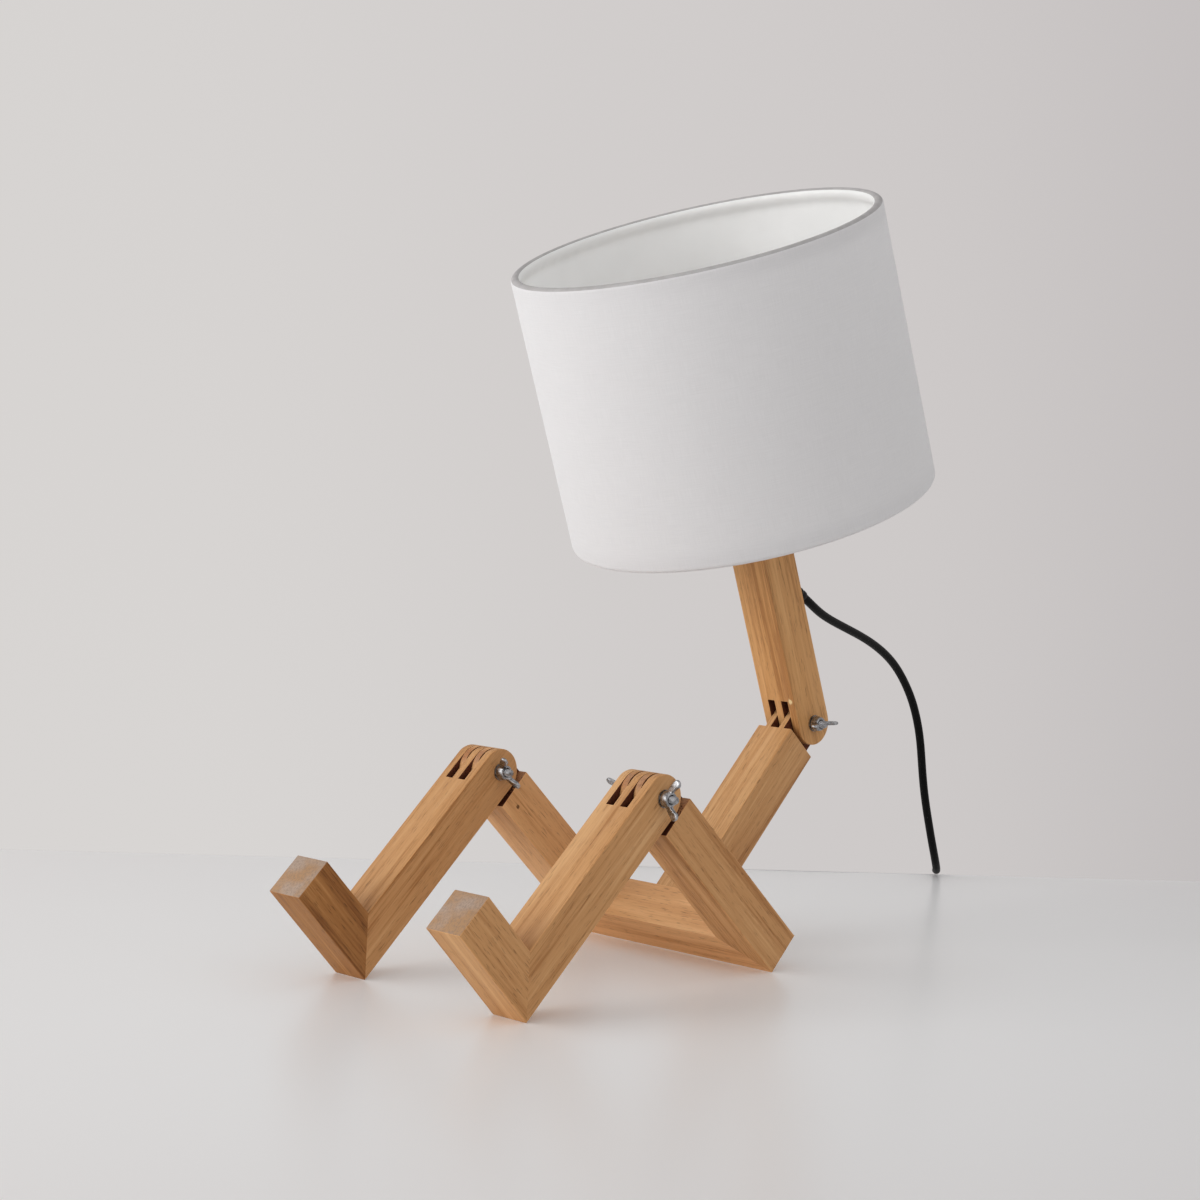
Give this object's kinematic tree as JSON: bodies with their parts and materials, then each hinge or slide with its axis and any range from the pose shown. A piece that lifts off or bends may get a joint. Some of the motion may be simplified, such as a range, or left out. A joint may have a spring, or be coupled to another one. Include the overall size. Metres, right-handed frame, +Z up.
{
  "type": "robot shaped desk lamp",
  "caption": "Desk lamp shaped like a sitting robot: jointed wooden limbs held by wing nuts, with a drum shade as its head and a mains lead with switch and plug.",
  "frame": {"origin": "centre of the lamp's footprint box without its lead, on the surface it stands on", "axes": "+Z up; -Y towards the toes, the way the figure faces; +X to the side that the wing nuts are on"},
  "size_m": [0.3495, 0.5334, 0.4108],
  "materials": {
    "wood_side": "satin lacquer",
    "wood_front": "satin lacquer",
    "dowel": "raw",
    "zinc": "zinc plated",
    "brass": "machined",
    "holder": "satin",
    "ceramic": "matt",
    "frame_wire": "satin white",
    "shade": "fine linen weave",
    "bulb_cap": "bright",
    "bulb_glass": "opal",
    "cord": "satin",
    "plastic_black": "satin"
  },
  "bodies": {
    "hips": {"crossbar": "wood_side", "thigh_left": "wood_side", "thigh_right": "wood_side", "torso": "wood_front", "hip_dowels": "dowel", "torso_dowels": "dowel", "cord_drop": "cord", "switch_lower": "plastic_black", "switch_upper": "plastic_black", "switch_reliefs": "cord", "cord_link": "cord", "cord_coil": "cord", "cord_tail": "cord", "plug_relief": "cord", "plug_body": "plastic_black", "plug_pins": "zinc"},
    "lower_leg_left": {"shin_left": "wood_side", "foot_left": "wood_front", "foot_dowels_left": "dowel", "knee_screw_left": "zinc", "knee_washers_left": "zinc"},
    "lower_leg_right": {"shin_right": "wood_side", "foot_right": "wood_front", "foot_dowels_right": "dowel", "knee_screw_right": "zinc", "knee_washers_right": "zinc"},
    "head": {"neck": "wood_side", "waist_screw": "zinc", "waist_washers": "zinc", "nipple": "brass", "nipple_nut": "brass", "holder_cap": "holder", "holder_sleeve": "holder", "holder_insert": "ceramic", "holder_contacts": "brass", "clamp_ring": "holder", "shade_frame_lower": "frame_wire", "shade_frame_upper": "frame_wire", "shade_skin": "shade", "bulb_cap": "bulb_cap", "bulb_glass": "bulb_glass", "neck_lead": "cord", "cord_relief": "cord"},
    "knee_nut_left": {"knee_nut_left": "zinc"},
    "knee_nut_right": {"knee_nut_right": "zinc"},
    "waist_nut": {"waist_nut": "zinc"},
    "rocker": {"switch_rocker": "plastic_black"}
  },
  "joints": [
    {"name": "knee_left", "type": "hinge", "parent": "hips", "child": "lower_leg_left", "pos_m": [-0.06, -0.05096, 0.09742], "axis": [-1, 0, 0], "range_deg": [-10, 90]},
    {"name": "knee_right", "type": "hinge", "parent": "hips", "child": "lower_leg_right", "pos_m": [0.06, -0.05096, 0.09742], "axis": [-1, 0, 0], "range_deg": [-10, 90]},
    {"name": "waist", "type": "hinge", "parent": "hips", "child": "head", "pos_m": [0, 0.12791, 0.11545], "axis": [-1, 0, 0], "range_deg": [-20, 70], "deforming": ["cord_drop"]},
    {"name": "knee_nut_turn_left", "type": "hinge", "parent": "lower_leg_left", "child": "knee_nut_left", "pos_m": [-0.0449, -0.05096, 0.09742], "axis": [1, 0, 0], "continuous": true},
    {"name": "knee_nut_turn_right", "type": "hinge", "parent": "lower_leg_right", "child": "knee_nut_right", "pos_m": [0.0751, -0.05096, 0.09742], "axis": [1, 0, 0], "continuous": true},
    {"name": "waist_nut_turn", "type": "hinge", "parent": "head", "child": "waist_nut", "pos_m": [0.0151, 0.12791, 0.11545], "axis": [1, 0, 0], "continuous": true},
    {"name": "switch_rock", "type": "hinge", "parent": "hips", "child": "rocker", "pos_m": [-0.13273, 0.2797, 0.01], "axis": [-0.7071, 0.7071, 0], "range_deg": [0, 14]}
  ]
}
